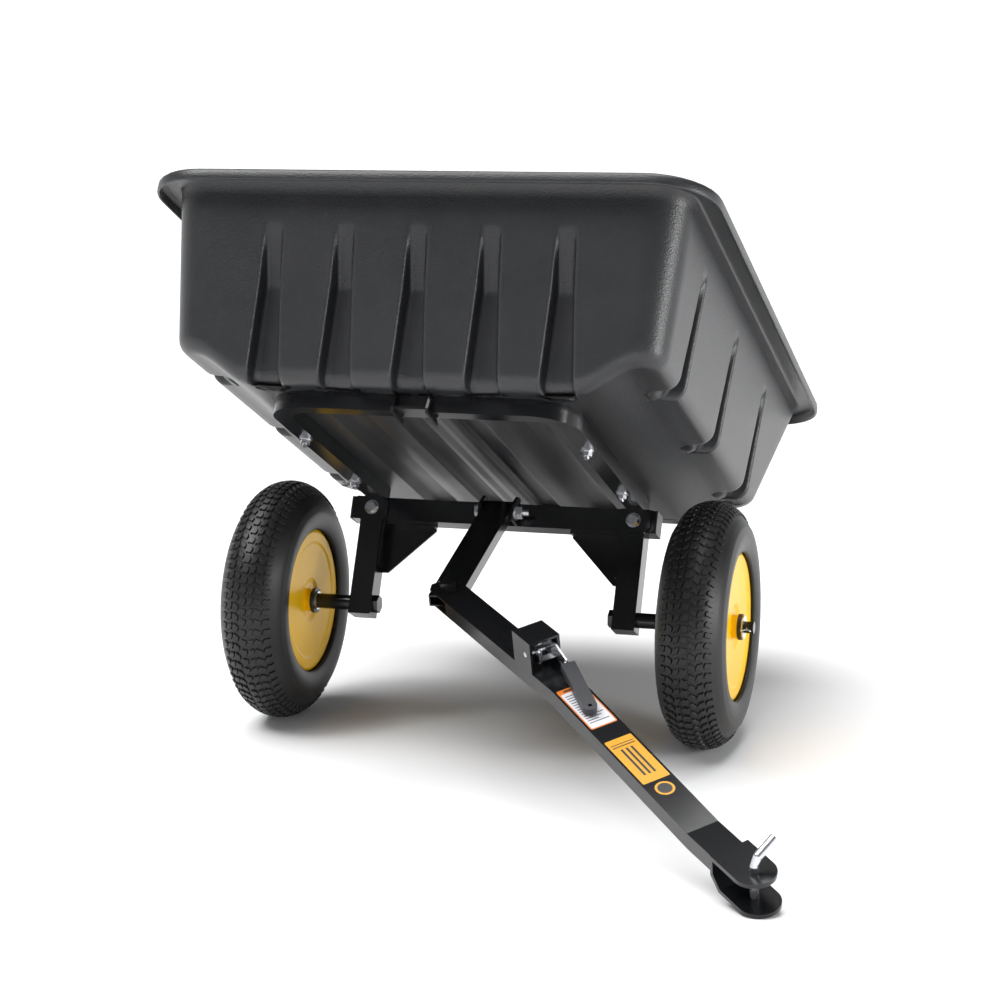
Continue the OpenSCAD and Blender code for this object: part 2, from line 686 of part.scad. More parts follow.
// ---- tow bar ----
// The bar seen from the side: distance forward along -Y, and height
net_run = seg3 - hitch_back - 0.5;    // last straight length, up to the hitch's plates
bar_path = [[fork_root, 0], [seg1, 0], [seg1 + seg2 * cos(bend1), -seg2 * sin(bend1)],
    [seg1 + seg2 * cos(bend1) + net_run * cos(net_bend),
        -seg2 * sin(bend1) - net_run * sin(net_bend)]];
bar_slopes = [0, bend1, net_bend];
function up_from(slope) = [sin(slope), cos(slope)];
// The path's corners moved by h, mitred where the bar is bent
function bar_edge(h, start, extra) = [
    for (i = [0:3])
        let (a = up_from(bar_slopes[max(i - 1, 0)]), b = up_from(bar_slopes[min(i, 2)]),
            m = (a + b) / (1 + a * b),
            end = i == 0 ? [start, 0] : i == 3 ? extra * [b[1], -b[0]] : [0, 0])
        let (q = bar_path[i] + h * m + end) [-q[0], q[1]]
];
module bar_side(h, width, start, extra) {
    low = bar_edge(-h, start, extra);
    rotate([90, 0, 90]) translate([0, 0, -width / 2]) linear_extrude(height = width)
        polygon(concat(bar_edge(h, start, extra), [for (i = [3:-1:0]) low[i]]));
}
// Outline of one ear of the fork, its end clipped round the swivel bolt
module fork_ear(z) {
    translate([0, 0, z]) difference() {
        linear_extrude(height = fork_t)
            polygon([[-bar_w / 2, -fork_root - 1], [-bar_w / 2, 12], [-bar_w / 2 + 10, 25],
                [bar_w / 2 - 10, 25], [bar_w / 2, 12], [bar_w / 2, -fork_root - 1]]);
        translate([0, 0, -1]) cylinder(r = swivel_d / 2 + fit_run, h = fork_t + 2, $fn = 48);
    }
}
module drawbar() {
    inner = bar_wall;
    color(steel) at_drawbar() {
        fork_ear(bar_h / 2 - fork_t);
        fork_ear(-bar_h / 2);
        difference() {
            bar_side(bar_h / 2, bar_w, 0, 0);
            bar_side(bar_h / 2 - inner, bar_w - 2 * inner, inner, 1);
        }
    }
}
// Upper hitch plate on top of the bar; the lower one closes the bar's end
module hitch_outline(back, nose) {
    translate([-hitch_w / 2, 0]) square([hitch_w, back]);
    translate([-hitch_w / 2, -nose]) square([hitch_w, nose + 1]);
    translate([0, -nose]) intersection() {
        circle(r = hitch_w / 2, $fn = 96);
        translate([-hitch_w, -hitch_w]) square([2 * hitch_w, hitch_w + 0.5]);
    }
}
module hitch_plate_top() {
    color(steel) at_hitch() translate([0, 0, bar_h / 2]) difference() {
        linear_extrude(height = hitch_t) hitch_outline(hitch_back, 0);
        translate([0, 0, -1]) cylinder(r = pin_d / 2 + fit_run, h = hitch_t + 2, $fn = 48);
    }
}
module hitch_plate_bottom() {
    z_low = -hitch_low;
    y1 = hitch_back - hitch_t;
    color(steel) at_hitch() difference() {
        union() {
            translate([0, 0, z_low]) linear_extrude(height = hitch_t) hitch_outline(32, hitch_nose);
            rotate([90, 0, 90]) translate([0, 0, -hitch_w / 2]) linear_extrude(height = hitch_w)
                polygon([[31, z_low], [31, z_low + hitch_t], [36, z_low + hitch_t],
                    [y1, -bar_h / 2 + 4], [y1, bar_h / 2], [hitch_back, bar_h / 2],
                    [hitch_back, -bar_h / 2], [39, z_low]]);
        }
        translate([0, 0, z_low - 1]) cylinder(r = pin_d / 2 + fit_run, h = hitch_t + 2, $fn = 48);
    }
}
// Round pin, its top bent over as a handle
module hitch_pin() {
    top = bar_h / 2 + hitch_t + 7;
    color(zinc) at_hitch() {
        translate([0, 0, -hitch_low]) cylinder(d = pin_d, h = top + hitch_low, $fn = 48);
        translate([0, 0, top]) {
            sphere(d = pin_d + 0.3, $fn = 48);
            rotate([0, 0, 8]) rotate([0, 28, 0]) {
                cylinder(d = pin_d, h = 14, $fn = 48);
                translate([0, 0, 14]) {
                    sphere(d = pin_d + 0.3, $fn = 48);
                    rotate([0, 34, 0]) cylinder(d = pin_d, h = 33, $fn = 48);
                }
            }
        }
    }
}

// ---- latch, drawn on the tow bar with the bar's top at bar_h / 2 ----
pivot_y = -(box_at + box_len - 16);
pivot_z = bar_h / 2 + 26;
module latch_box() {
    color(steel) at_drawbar() difference() {
        translate([-bar_w / 2, -box_at - box_len, bar_h / 2]) cube([bar_w, box_len, box_h]);
        translate([-bar_w / 2 + box_t, -box_at - box_len - 1, bar_h / 2 - 1])
            cube([bar_w - 2 * box_t, box_len + 2, box_h - box_t + 1]);
        translate([-bar_w, pivot_y, pivot_z]) rotate([0, 90, 0])
            cylinder(r = pivot_d / 2 + fit_bolt, h = 2 * bar_w, $fn = 32);
    }
}
module latch_pivot() {
    color(zinc) at_drawbar() translate([0, pivot_y, pivot_z]) rotate([0, 90, 0]) {
        translate([0, 0, -bar_w / 2]) cylinder(d = pivot_d, h = bar_w, $fn = 32);
        translate([0, 0, -bar_w / 2 + box_t]) hex_head(12, 5);
    }
}
lever_t = 3;
lever_l = -13;                        // left face of the lever's left cheek
lever_r = 16;                         // left face of its right cheek
tail_at = pivot_y - 46;               // where the tail goes into the grip
module lever_cheek(x) {
    translate([x, 0, 0]) rotate([90, 0, 90]) linear_extrude(height = lever_t)
        polygon([[pivot_y + 32, pivot_z + 11], [pivot_y + 32, pivot_z + 2],
            [pivot_y + 8, pivot_z - 13], [pivot_y - 12, pivot_z - 11],
            [tail_at, pivot_z - 13], [tail_at, pivot_z - 3], [pivot_y - 14, pivot_z + 11]]);
}
// The tail's own place: its flat runs forward, down and towards the middle
module at_tail() {
    translate([lever_r + lever_t / 2, tail_at + 2, pivot_z - 8])
        rotate([0, 0, -12]) rotate([11, 0, 0]) children();
}
module latch_lever() {
    color(zinc) at_drawbar() difference() {
        union() {
            lever_cheek(lever_r);
            difference() {
                lever_cheek(lever_l);
                translate([lever_l - 1, pivot_y - 70, pivot_z - 20])
                    cube([lever_t + 2, 50, 60]);
            }
            // Front web between the cheeks, with a window
            translate([lever_l, pivot_y - 17, pivot_z - 10])
                cube([lever_r - lever_l + lever_t, lever_t, 17]);
            // Hook plate at the back
            translate([lever_l, pivot_y + 14, pivot_z + 8])
                cube([lever_r - lever_l + lever_t, 18, lever_t]);
            at_tail() translate([-3, -grip_len + 14, -2]) cube([6, grip_len - 14, 4]);
        }
        translate([lever_l + 7, pivot_y - 18, pivot_z - 1]) cube([15, lever_t + 2, 10]);
        translate([-bar_w, pivot_y, pivot_z]) rotate([0, 90, 0])
            cylinder(r = pivot_d / 2 + fit_run, h = 2 * bar_w, $fn = 32);
    }
}
// Vinyl grip with rounded ends and a hanging hole
module lever_grip() {
    w = 21;
    t = 12;
    color(rubber) at_drawbar() at_tail() difference() {
        translate([0, 0, -t / 2]) union() {
            translate([-w / 2, -grip_len + w / 2, 0]) cube([w, grip_len - w / 2 - 6, t]);
            translate([0, -grip_len + w / 2, 0]) cylinder(d = w, h = t, $fn = 48);
        }
        translate([-3, -grip_len + 14, -2]) cube([6, grip_len, 4]);
        translate([0, -grip_len + w / 2 - 1, -t]) cylinder(d = 6, h = 2 * t, $fn = 32);
    }
}
// Torsion spring round the pivot, between the lever's cheeks
module latch_spring() {
    color(zinc) at_drawbar() translate([0, pivot_y, pivot_z]) rotate([0, 90, 0])
        for (i = [0:4]) translate([0, 0, lever_l + lever_t + 4 + i * 2.6])
            rotate_extrude($fn = 32) translate([pivot_d / 2 + 2.2, 0]) circle(d = 2, $fn = 16);
}

tub();
hoop();
hoop_catch();
tub_bolts();
tub_nuts();
cross_beam();
beam_caps();
leg_left();
leg_right();
gusset_left();
gusset_right();
bracket_left();
bracket_right();
bracket_bolts();
bracket_nuts();
link_lugs();
tip_bolt();
tip_nut();
axle_bolt_left();
axle_bolt_right();
spacer_left();
spacer_right();
axle_washers();
cotter_pins();
tyre_left();
rim_inner_left();
rim_outer_left();
hub_left();
bushes_left();
valve_left();
tyre_right();
rim_inner_right();
rim_outer_right();
hub_right();
bushes_right();
valve_right();
link();
link_bush();
swivel_bolt();
swivel_nut();
drawbar();
latch_box();
latch_pivot();
latch_spring();
latch_lever();
lever_grip();
hitch_plate_top();
hitch_plate_bottom();
hitch_pin();
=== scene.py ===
"""Looks of a tipping garden cart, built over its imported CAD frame."""

import json
import math

import bmesh
import bpy
import numpy as np
from mathutils import Matrix, Vector


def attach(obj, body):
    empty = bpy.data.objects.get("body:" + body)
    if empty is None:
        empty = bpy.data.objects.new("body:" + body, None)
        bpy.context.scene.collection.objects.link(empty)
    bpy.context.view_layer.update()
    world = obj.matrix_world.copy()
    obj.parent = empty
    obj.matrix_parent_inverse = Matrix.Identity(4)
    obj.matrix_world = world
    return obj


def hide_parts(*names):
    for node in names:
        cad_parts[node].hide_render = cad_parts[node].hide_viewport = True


bl_info = {
    "name": "Tipping garden cart",
    "version": (1, 0, 0),
    "blender": (4, 5, 0),
    "location": "View3D > Sidebar > Cart",
    "description": "Builds the visible pieces and finishes of a tipping garden cart",
    "category": "Add Mesh",
}

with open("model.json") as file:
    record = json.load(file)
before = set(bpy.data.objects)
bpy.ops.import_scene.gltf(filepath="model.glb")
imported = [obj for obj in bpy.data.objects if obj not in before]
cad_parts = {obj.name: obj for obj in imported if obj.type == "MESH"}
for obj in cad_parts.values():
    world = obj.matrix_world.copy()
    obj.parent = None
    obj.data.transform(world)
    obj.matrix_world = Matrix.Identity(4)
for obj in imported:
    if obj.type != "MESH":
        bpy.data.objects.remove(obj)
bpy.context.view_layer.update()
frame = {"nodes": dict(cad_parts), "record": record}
NODES = frame["nodes"]

# Places of the beam, the tow bar and its bends, in the shared frame
TIP = math.radians(24.4)
JOINT = {j["name"]: j for j in frame["record"]["behaviour"]["joints"]}
KNEE = Vector(JOINT["swivel"]["pos_m"])
BAR_UP = Vector(JOINT["swivel"]["axis"])
BAR_SIDE = -Vector(JOINT["latch_lever"]["axis"])
BAR_FORWARD = BAR_UP.cross(BAR_SIDE) * -1.0
AXLE = Vector(JOINT["wheel_right_spin"]["pos_m"])
LEG = 0.160
BEAM = Matrix.Translation((0, LEG * math.sin(TIP), AXLE.z + LEG * math.cos(TIP))) \
    @ Matrix.Rotation(-TIP, 4, "X")
BAR = Matrix.Translation(KNEE) @ Matrix((BAR_SIDE, -BAR_FORWARD, BAR_UP)).transposed().to_4x4()
SEG1 = 0.362
BEND1 = math.radians(8.1)
BAR2 = BAR @ Matrix.Translation((0, -SEG1, 0)) @ Matrix.Rotation(BEND1, 4, "X")

# The stage: camera, lamps as (name, place, aim, size, power), and floor
CAMERA_AT = (1.1309, -3.7490, 1.0395)
CAMERA_AIM = (-0.28204, 0.94515, -0.16474)
CAMERA_LENS = 87.69
LAMPS = (
    ("key", (-2.2, -1.6, 3.8), (0, -0.1, 0.3), 1.2, 50.0),
    ("top", (0.6, 0.6, 4.2), (0, 0, 0.3), 1.6, 30.0),
    ("rim", (3.2, -0.6, 0.9), (0.2, 0, 0.3), 1.0, 46.0),
)
SUN_AIM = (0.25, 0.12, -1.0)
SPOT_AT = (0.2, -3.2, 1.6)
FLOOR_HALF = 30


# ---------------------------------------------------------------- properties
class CartColours(bpy.types.PropertyGroup):
    """Colours and finishes"""
    tub: bpy.props.FloatVectorProperty(
        name="Tub", description="Colour of the moulded tub", subtype="COLOR", size=3,
        default=(0.0135, 0.0142, 0.0158), min=0, max=1)
    paint: bpy.props.FloatVectorProperty(
        name="Frame paint", description="Colour of the powder coat", subtype="COLOR", size=3,
        default=(0.0060, 0.0063, 0.0072), min=0, max=1)
    rim: bpy.props.FloatVectorProperty(
        name="Rims", description="Colour of the wheel rims", subtype="COLOR", size=3,
        default=(1.0, 0.50, 0.002), min=0, max=1)
    rubber: bpy.props.FloatVectorProperty(
        name="Rubber", description="Colour of the tyres", subtype="COLOR", size=3,
        default=(0.0090, 0.0093, 0.0102), min=0, max=1)
    zinc: bpy.props.FloatVectorProperty(
        name="Zinc", description="Colour of the plated hardware", subtype="COLOR", size=3,
        default=(0.62, 0.63, 0.66), min=0, max=1)


class CartTub(bpy.types.PropertyGroup):
    """Sizes of the moulded tub, measured from the middle of the cross beam"""
    floor_z: bpy.props.FloatProperty(
        name="Floor", description="Underside of the floor", default=0.045, unit="LENGTH")
    depth: bpy.props.FloatProperty(
        name="Depth", description="Rim above the floor", default=0.300, unit="LENGTH")
    front: bpy.props.FloatProperty(
        name="Front", description="Foot of the front wall", default=0.575, unit="LENGTH")
    rear: bpy.props.FloatProperty(
        name="Rear", description="Foot of the rear wall", default=0.184, unit="LENGTH")
    half: bpy.props.FloatProperty(
        name="Half width", description="Foot of the side walls", default=0.370, unit="LENGTH")
    flute: bpy.props.FloatProperty(
        name="Flute depth", description="Depth of the recessed flutes", default=0.026,
        unit="LENGTH")
    wall: bpy.props.FloatProperty(
        name="Wall", description="Thickness of the wall", default=0.004, unit="LENGTH")


class CartTyre(bpy.types.PropertyGroup):
    """Sizes of the tyres and their tread"""
    radius: bpy.props.FloatProperty(
        name="Radius", description="Outside radius", default=0.200, unit="LENGTH")
    width: bpy.props.FloatProperty(
        name="Width", description="Width of the tyre", default=0.112, unit="LENGTH")
    tread: bpy.props.FloatProperty(
        name="Tread", description="Height of the tread blocks", default=0.0030, unit="LENGTH")
    blocks: bpy.props.IntProperty(
        name="Blocks", description="Blocks in each row round the tyre", default=72, min=24)


class CartLook(bpy.types.PropertyGroup):
    """Everything a user may change"""
    colours: bpy.props.PointerProperty(type=CartColours)
    tub: bpy.props.PointerProperty(type=CartTub)
    tyre: bpy.props.PointerProperty(type=CartTyre)


# ---------------------------------------------------------------- materials
def node_group(name, inputs, outputs):
    """A new shader group with float inputs and outputs, and its end nodes."""
    tree = bpy.data.node_groups.new(name, "ShaderNodeTree")
    for label, default in inputs:
        sock = tree.interface.new_socket(label, in_out="INPUT", socket_type="NodeSocketFloat")
        sock.default_value = default
    for label in outputs:
        tree.interface.new_socket(label, in_out="OUTPUT", socket_type="NodeSocketFloat")
    return tree, tree.nodes.new("NodeGroupInput"), tree.nodes.new("NodeGroupOutput")


def math_node(tree, operation, a, b=None, clamp=False):
    """A math node; a and b are sockets or numbers."""
    node = tree.nodes.new("ShaderNodeMath")
    node.operation = operation
    node.use_clamp = clamp
    for slot, value in ((0, a), (1, b)):
        if isinstance(value, (int, float)):
            node.inputs[slot].default_value = value
        elif value is not None:
            tree.links.new(value, node.inputs[slot])
    return node.outputs[0]


def noise(tree, vector, scale, detail=4.0, rough=0.55):
    """A noise texture over the given vector; scale is a socket or a number."""
    node = tree.nodes.new("ShaderNodeTexNoise")
    tree.links.new(vector, node.inputs["Vector"])
    if isinstance(scale, (int, float)):
        node.inputs["Scale"].default_value = scale
    else:
        tree.links.new(scale, node.inputs["Scale"])
    node.inputs["Detail"].default_value = detail
    node.inputs["Roughness"].default_value = rough
    return node.outputs[0]


def spread(tree, value, low, high):
    """value moved from low..high to 0..1, clamped."""
    node = tree.nodes.new("ShaderNodeMapRange")
    tree.links.new(value, node.inputs["Value"])
    node.inputs["From Min"].default_value = low
    node.inputs["From Max"].default_value = high
    return node.outputs[0]


def make_groups():
    """The shared effects: surface grain, mottled colour, lighter edges (wear and painted highlight)
    and dust.
    """
    groups = {}
    tree, start, end = node_group(
        "Grain", (("Scale", 400.0), ("Pebble", 0.5)), ("Height", "Fine"))
    coord = tree.nodes.new("ShaderNodeTexCoord").outputs["Object"]
    cells = tree.nodes.new("ShaderNodeTexVoronoi")
    cells.feature = "SMOOTH_F1"
    tree.links.new(coord, cells.inputs["Vector"])
    tree.links.new(start.outputs["Scale"], cells.inputs["Scale"])
    fine = noise(tree, coord, math_node(tree, "MULTIPLY", start.outputs["Scale"], 1.7))
    pebble = math_node(tree, "MULTIPLY", cells.outputs["Distance"], start.outputs["Pebble"])
    rest = math_node(tree, "SUBTRACT", 1.0, start.outputs["Pebble"])
    total = math_node(tree, "ADD", pebble, math_node(tree, "MULTIPLY", fine, rest))
    tree.links.new(total, end.inputs["Height"])
    tree.links.new(fine, end.inputs["Fine"])
    groups["Grain"] = tree

    tree, start, end = node_group("Mottle", (("Scale", 6.0), ("Contrast", 0.5)), ("Value",))
    coord = tree.nodes.new("ShaderNodeTexCoord").outputs["Object"]
    wide = noise(tree, coord, start.outputs["Scale"], 5.0)
    close = noise(tree, coord, math_node(tree, "MULTIPLY", start.outputs["Scale"], 9.0), 3.0)
    both = math_node(tree, "ADD", math_node(tree, "MULTIPLY", wide, 0.65),
                     math_node(tree, "MULTIPLY", close, 0.35))
    off = math_node(tree, "SUBTRACT", both, 0.5)
    value = math_node(tree, "MULTIPLY", off, start.outputs["Contrast"])
    tree.links.new(math_node(tree, "ADD", value, 0.5, True), end.inputs["Value"])
    groups["Mottle"] = tree

    # Lighter on sharp edges, broken up by noise: partly wear, partly a painted highlight along the
    # edges.
    tree, start, end = node_group("Edge wear and highlight", (("Amount", 0.5), ("Breakup", 90.0)), ("Mask",))
    point = tree.nodes.new("ShaderNodeNewGeometry").outputs["Pointiness"]
    edge = spread(tree, point, 0.515, 0.60)
    coord = tree.nodes.new("ShaderNodeTexCoord").outputs["Object"]
    patchy = spread(tree, noise(tree, coord, start.outputs["Breakup"]), 0.38, 0.62)
    mask = math_node(tree, "MULTIPLY", edge, math_node(tree, "ADD", patchy, 0.35))
    tree.links.new(math_node(tree, "MULTIPLY", mask, start.outputs["Amount"], True),
                   end.inputs["Mask"])
    groups["Edge wear and highlight"] = tree

    tree, start, end = node_group("Dust", (("Amount", 0.3), ("Scale", 14.0)), ("Mask",))
    geo = tree.nodes.new("ShaderNodeNewGeometry")
    axes = tree.nodes.new("ShaderNodeSeparateXYZ")
    tree.links.new(geo.outputs["Normal"], axes.inputs[0])
    up = spread(tree, axes.outputs["Z"], -0.1, 1.0)
    coord = tree.nodes.new("ShaderNodeTexCoord").outputs["Object"]
    cloud = spread(tree, noise(tree, coord, start.outputs["Scale"], 6.0), 0.35, 0.75)
    mask = math_node(tree, "MULTIPLY", math_node(tree, "ADD", up, 0.15), cloud)
    tree.links.new(math_node(tree, "MULTIPLY", mask, start.outputs["Amount"], True),
                   end.inputs["Mask"])
    groups["Dust"] = tree
    return groups


def mix_colour(tree, factor, a, b):
    """a mixed towards b by factor; each colour is a socket or three numbers."""
    node = tree.nodes.new("ShaderNodeMix")
    node.data_type = "RGBA"
    tree.links.new(factor, node.inputs["Factor"])
    for label, value in (("A", a), ("B", b)):
        sock = [s for s in node.inputs if s.name == label and s.type == "RGBA"][0]
        if isinstance(value, tuple):
            sock.default_value = (*value, 1.0)
        else:
            tree.links.new(value, sock)
    return [s for s in node.outputs if s.type == "RGBA"][0]


def scaled(colour, k):
    """A colour made lighter or darker."""
    return tuple(min(1.0, c * k) for c in colour)


def finish(name, colour, rough, rough_swing=0.1, metallic=0.0, coat=0.0, grain=400.0,
           pebble=0.5, bump=0.2, depth=0.0004, mottle=0.6, wear_and_highlight=0.0, wear_and_highlight_colour=None,
           dust=0.0, dust_colour=(0.36, 0.34, 0.31), specular=0.5):
    """A procedural material from the shared groups."""
    colour = tuple(colour)
    mat = bpy.data.materials.new(name)
    mat.use_nodes = True
    tree = mat.node_tree
    bsdf = tree.nodes["Principled BSDF"]
    made = {}
    for label, values in (("Grain", {"Scale": grain, "Pebble": pebble}),
                          ("Mottle", {"Scale": 6.0, "Contrast": mottle}),
                          ("Edge wear and highlight", {"Amount": wear_and_highlight}), ("Dust", {"Amount": dust})):
        node = tree.nodes.new("ShaderNodeGroup")
        node.node_tree = GROUPS[label]
        for key, value in values.items():
            node.inputs[key].default_value = value
        made[label] = node
    value = made["Mottle"].outputs["Value"]
    base = mix_colour(tree, value, scaled(colour, 0.78), scaled(colour, 1.25))
    # Sharp edges mixed towards a lighter colour: wear and painted highlight.
    if wear_and_highlight:
        base = mix_colour(tree, made["Edge wear and highlight"].outputs["Mask"], base,
                          tuple(wear_and_highlight_colour or scaled(colour, 4.0)))
    if dust:
        base = mix_colour(tree, made["Dust"].outputs["Mask"], base, dust_colour)
    tree.links.new(base, bsdf.inputs["Base Color"])
    lift = math_node(tree, "MULTIPLY", math_node(tree, "SUBTRACT", value, 0.5),
                     rough_swing * 2)
    level = math_node(tree, "ADD", lift, rough)
    if dust:
        level = math_node(tree, "ADD", level,
                          math_node(tree, "MULTIPLY", made["Dust"].outputs["Mask"], 0.3), True)
    tree.links.new(level, bsdf.inputs["Roughness"])
    bsdf.inputs["Metallic"].default_value = metallic
    bsdf.inputs["Coat Weight"].default_value = coat
    bsdf.inputs["Coat Roughness"].default_value = 0.12
    bsdf.inputs["Specular IOR Level"].default_value = specular
    node = tree.nodes.new("ShaderNodeBump")
    node.inputs["Strength"].default_value = bump
    node.inputs["Distance"].default_value = depth
    tree.links.new(made["Grain"].outputs["Height"], node.inputs["Height"])
    tree.links.new(node.outputs["Normal"], bsdf.inputs["Normal"])
    return mat


# ---------------------------------------------------------------- mesh helpers
def mesh_object(name, verts, faces, material=None, smooth=True):
    """A mesh object at the origin."""
    mesh = bpy.data.meshes.new(name)
    mesh.from_pydata([tuple(v) for v in verts], [], faces)
    if smooth:
        mesh.polygons.foreach_set("use_smooth", [True] * len(mesh.polygons))
    mesh.update()
    obj = bpy.data.objects.new(name, mesh)
    bpy.context.scene.collection.objects.link(obj)
    if material:
        mesh.materials.append(material)
    return obj


def ring_faces(rings, around, closed=True):
    """Quads between rings of equal count."""
    faces = []
    for k in range(rings - 1):
        for i in range(around if closed else around - 1):
            j = (i + 1) % around
            a, b = k * around, (k + 1) * around
            faces.append((a + i, a + j, b + j, b + i))
    return faces


def turned(name, profile, matrix, material, around=96):
    """A closed surface of revolution about Z from (radius, z) points, listed so that
    the outside is on the right of the path."""
    verts = []
    for r, z in profile:
        for i in range(around):
            a = 2 * math.pi * i / around
            verts.append(matrix @ Vector((r * math.cos(a), r * math.sin(a), z)))
    faces = ring_faces(len(profile), around)
    last = (len(profile) - 1) * around
    faces += [(last + i, last + (i + 1) % around, (i + 1) % around, i) for i in range(around)]
    obj = mesh_object(name, verts, faces, material)
    fix_normals(obj)
    return obj


def fix_normals(obj):
    """Turns every face outwards."""
    work = bmesh.new()
    work.from_mesh(obj.data)
    bmesh.ops.recalc_face_normals(work, faces=work.faces)
    work.to_mesh(obj.data)
    work.free()


def smoothstep(a, b, x):
    """0 below a, 1 above b, smooth between."""
    t = np.clip((x - a) / (b - a), 0.0, 1.0)
    return t * t * (3 - 2 * t)


def rest_on(obj, body):
    """Says which body a piece rides on."""
    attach(obj, body)


# ---------------------------------------------------------------- tub
def tub_shelf(x):
    """Rise of the tub's floor towards the side shelves."""
    return 0.042 * smoothstep(0.252, 0.342, np.abs(x))


def tub_grooves(x, y, q):
    """Height of the long channels pressed up into the floor between the rails."""
    near = np.abs((x / 0.096) % 1.0 - 0.5) * 0.096
    across = 1 - smoothstep(0.0195, 0.0225, near)
    inside = 1 - smoothstep(0.180, 0.186, np.abs(x))
    ends = smoothstep(-0.532, -0.518, y) * (1 - smoothstep(0.122, 0.136, y))
    return 0.012 * across * inside * ends * smoothstep(0.0, 0.05, q)


FLUTE_TOP, FLUTE_KNEE, FLUTE_SOFT = 0.785, 0.48, 0.0030
FRONT_FLUTES = (-0.224, -0.112, 0.0, 0.112, 0.224)
SIDE_FLUTES = (-0.430, -0.156, 0.118)


def flute_half(t):
    """Half width of a flute at the fraction t of the wall's height."""
    upper = 0.013 + 0.002 * np.clip((FLUTE_TOP - t) / (FLUTE_TOP - FLUTE_KNEE), 0, 1)
    return upper + 0.009 * np.clip((FLUTE_KNEE - t) / FLUTE_KNEE, 0, 1)


def fluted_edge(centres, between, ends):
    """Places along a wall as weights of (1, half width, low end, high end), with rows
    of points that follow each flute's two edges."""
    s = FLUTE_SOFT
    marks = [(0, 0, 1, 0)]

    def fill(target, count):
        last = np.array(marks[-1], float)
        for k in range(1, count + 1):
            marks.append(tuple(last + (np.array(target, float) - last) * k / count))

    for n, c in enumerate(centres):
        fill((c - 0.007, -1, 0, 0), between if n else ends)
        marks.extend((c - o, -1, 0, 0) for o in (s, 0.4 * s, -0.4 * s, -s))
        marks.extend((c, w, 0, 0) for w in (-0.45, 0, 0.45))
        marks.extend((c + o, 1, 0, 0) for o in (-s, -0.4 * s, 0.4 * s, s, 0.007))
    fill((0, 0, 0, 1), ends)
    return marks


